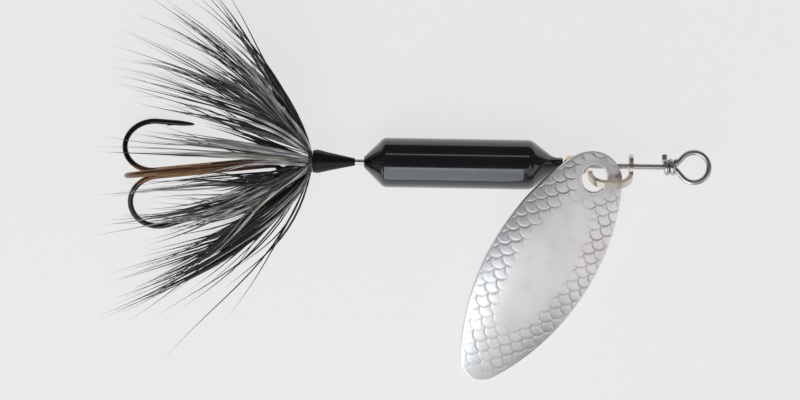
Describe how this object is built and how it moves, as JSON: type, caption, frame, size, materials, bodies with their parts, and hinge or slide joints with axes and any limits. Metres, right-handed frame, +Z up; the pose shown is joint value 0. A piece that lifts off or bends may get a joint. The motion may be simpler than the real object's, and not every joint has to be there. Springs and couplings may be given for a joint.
{
  "type": "inline spinner",
  "caption": "Inline spinner lure: nickel blade on a clevis, brass bead, black weight, thread head, feather hackle and treble hook on a wire shaft.",
  "frame": {"origin": "centre of the line-tie eye", "axes": "+X out of the eye along the wire shaft, +Z up from the surface that the lure lies on, third hook of the treble up"},
  "size_m": [0.0556, 0.0365, 0.0192],
  "materials": {
    "wire_steel": "drawn stainless spring wire, half bright",
    "black_thread": "wound tying thread under gloss head cement",
    "quill_brown": "split feather stem",
    "gloss_black": "gloss black enamel over a cast weight",
    "bead_brass": "turned brass",
    "clevis_nickel": "nickel-plated brass strip, warm where it is worn",
    "blade_nickel": "bright nickel plate over brass, stamped scale pattern",
    "hook_bronze": "bronzed high-carbon wire",
    "braze_brown": "brazing metal under bronze lacquer",
    "hackle_black": "black and grizzly feather fibre"
  },
  "bodies": {
    "shaft": {"shaft_wire": "wire_steel", "thread_head": "black_thread", "hackle_quill": "quill_brown", "hackle_tuft_1": "hackle_black", "hackle_tuft_2": "hackle_black", "hackle_tuft_3": "hackle_black", "hackle_tuft_4": "hackle_black", "hackle_tuft_5": "hackle_black", "hackle_tuft_6": "hackle_black", "hackle_tuft_7": "hackle_black", "hackle_tuft_8": "hackle_black", "hackle_tuft_9": "hackle_black", "hackle_tuft_10": "hackle_black", "hackle_tuft_11": "hackle_black", "hackle_tuft_12": "hackle_black", "hackle_tuft_13": "hackle_black", "hackle_tuft_14": "hackle_black"},
    "weight": {"weight_body": "gloss_black"},
    "bead": {"bearing_bead": "bead_brass"},
    "clevis": {"clevis": "clevis_nickel"},
    "blade": {"blade": "blade_nickel"},
    "hook": {"hook_double": "hook_bronze", "hook_single": "hook_bronze", "hook_braze": "braze_brown"}
  },
  "joints": [
    {"name": "weight_spin", "type": "hinge", "parent": "shaft", "child": "weight", "pos_m": [-0.02, 0, 0], "axis": [1, 0, 0], "continuous": true},
    {"name": "bead_slide", "type": "slide", "parent": "shaft", "child": "bead", "axis": [1, 0, 0], "range_m": [0, 0.0024]},
    {"name": "clevis_spin", "type": "hinge", "parent": "bead", "child": "clevis", "pos_m": [-0.0075, 0, 0], "axis": [1, 0, 0], "continuous": true},
    {"name": "blade_swing", "type": "hinge", "parent": "clevis", "child": "blade", "pos_m": [-0.009, -0.0011, 0.0013], "axis": [0.2031, -0.2439, 0.9483], "range_deg": [-60, 30]},
    {"name": "hook_swing", "type": "hinge", "parent": "shaft", "child": "hook", "pos_m": [-0.0368, 0, 0], "axis": [0, 0, 1], "range_deg": [-51.5, 38.5], "deforming": ["hackle_tuft_1", "hackle_tuft_2", "hackle_tuft_3", "hackle_tuft_4", "hackle_tuft_5", "hackle_tuft_6", "hackle_tuft_7", "hackle_tuft_8", "hackle_tuft_9", "hackle_tuft_10", "hackle_tuft_11", "hackle_tuft_12", "hackle_tuft_13", "hackle_tuft_14"]}
  ]
}
